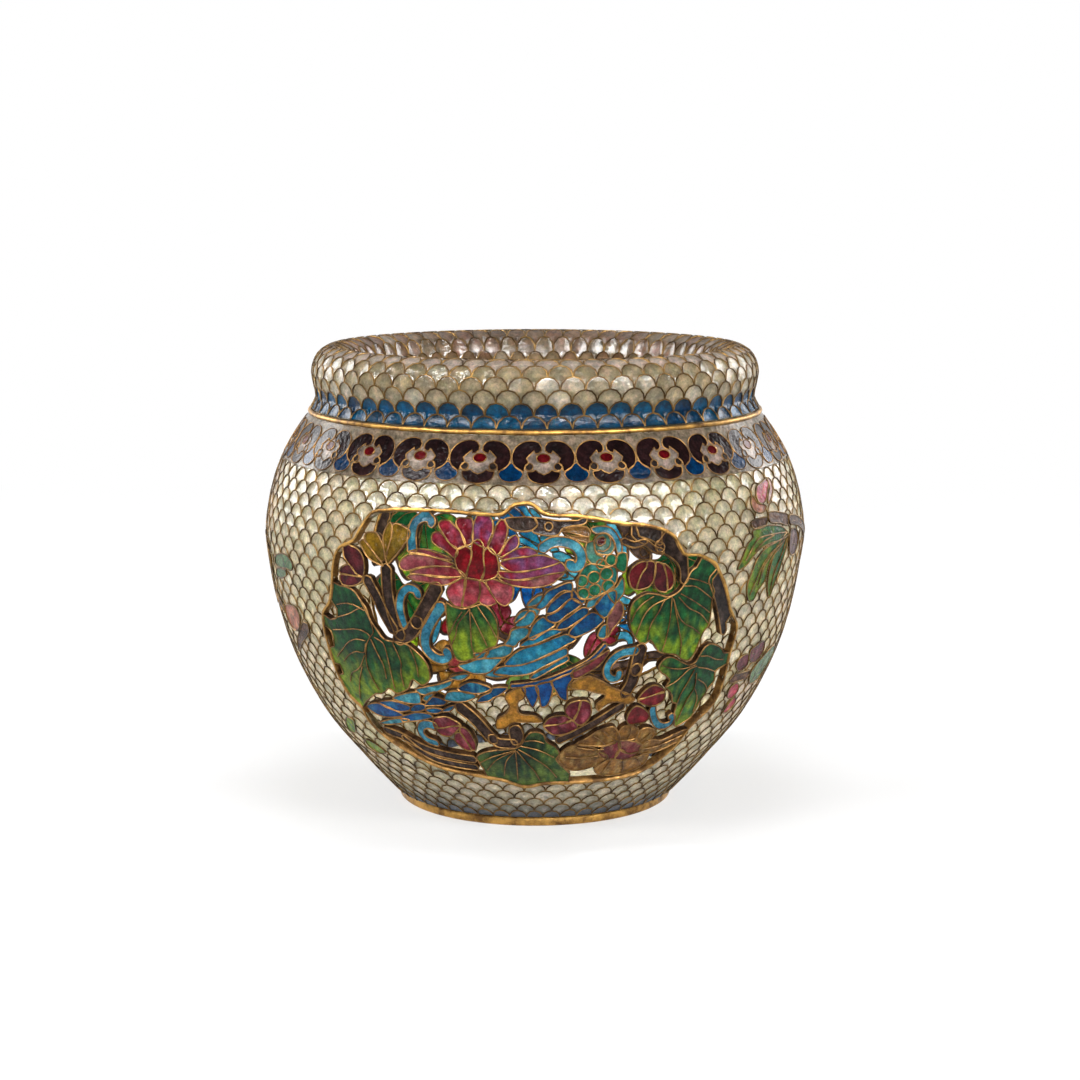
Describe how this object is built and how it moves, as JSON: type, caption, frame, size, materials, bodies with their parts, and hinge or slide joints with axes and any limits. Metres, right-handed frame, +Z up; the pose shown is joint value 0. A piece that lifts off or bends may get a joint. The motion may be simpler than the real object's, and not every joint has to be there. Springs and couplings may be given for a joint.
{
  "type": "enamel jar",
  "caption": "Small round enamel jar with a rolled rim, gilt foot and wires, a fish-scale ground and pierced bird and flower windows.",
  "frame": {"origin": "on the table under the middle of the foot ring", "axes": "+Z up along the jar's axis, -Y towards the middle of the front window, +X to the right of it"},
  "size_m": [0.1078, 0.1078, 0.0918],
  "materials": {
    "gilt_metal": "worn gilt wire and ring",
    "clear_enamel": "light-through grey-beige enamel with copper wire scales",
    "ruyi_enamel": "dark maroon enamel heads with bright blue drops",
    "blue_enamel": "light-through blue and teal enamel",
    "green_enamel": "light-through green enamel, paler at the tips",
    "brown_enamel": "dark aubergine-brown enamel",
    "amber_enamel": "light-through amber enamel",
    "rose_enamel": "light-through rose and maroon enamel"
  },
  "bodies": {
    "root": {"back_bird_belly": "blue_enamel", "back_bird_breast": "blue_enamel", "back_bird_head": "blue_enamel", "back_bird_tail": "blue_enamel", "back_bird_wing": "blue_enamel", "back_blossom_amber": "amber_enamel", "back_blossom_rose": "rose_enamel", "back_branch_bottom": "brown_enamel", "back_branch_left": "brown_enamel", "back_branch_low": "brown_enamel", "back_branch_middle": "brown_enamel", "back_branch_right": "brown_enamel", "back_branch_right_top": "brown_enamel", "back_branch_top": "brown_enamel", "back_bud_amber": "amber_enamel", "back_bud_maroon": "rose_enamel", "back_bud_round": "rose_enamel", "back_buds_middle": "rose_enamel", "back_buds_pink": "rose_enamel", "back_buds_red": "rose_enamel", "back_frame": "gilt_metal", "back_leaf_bottom": "green_enamel", "back_leaf_left": "green_enamel", "back_leaf_middle": "green_enamel", "back_leaf_right_lower": "green_enamel", "back_leaf_right_upper": "green_enamel", "base_disc": "clear_enamel", "body_wall": "clear_enamel", "foot_ring": "gilt_metal", "front_bird_belly": "blue_enamel", "front_bird_breast": "blue_enamel", "front_bird_head": "blue_enamel", "front_bird_tail": "blue_enamel", "front_bird_wing": "blue_enamel", "front_blossom_amber": "amber_enamel", "front_blossom_rose": "rose_enamel", "front_branch_bottom": "brown_enamel", "front_branch_left": "brown_enamel", "front_branch_low": "brown_enamel", "front_branch_middle": "brown_enamel", "front_branch_right": "brown_enamel", "front_branch_right_top": "brown_enamel", "front_branch_top": "brown_enamel", "front_bud_amber": "amber_enamel", "front_bud_maroon": "rose_enamel", "front_bud_round": "rose_enamel", "front_buds_middle": "rose_enamel", "front_buds_pink": "rose_enamel", "front_buds_red": "rose_enamel", "front_frame": "gilt_metal", "front_leaf_bottom": "green_enamel", "front_leaf_left": "green_enamel", "front_leaf_middle": "green_enamel", "front_leaf_right_lower": "green_enamel", "front_leaf_right_upper": "green_enamel", "lip_wire": "gilt_metal", "neck_wire": "gilt_metal", "rim_collar": "clear_enamel", "shoulder_band": "ruyi_enamel"}
  },
  "joints": []
}
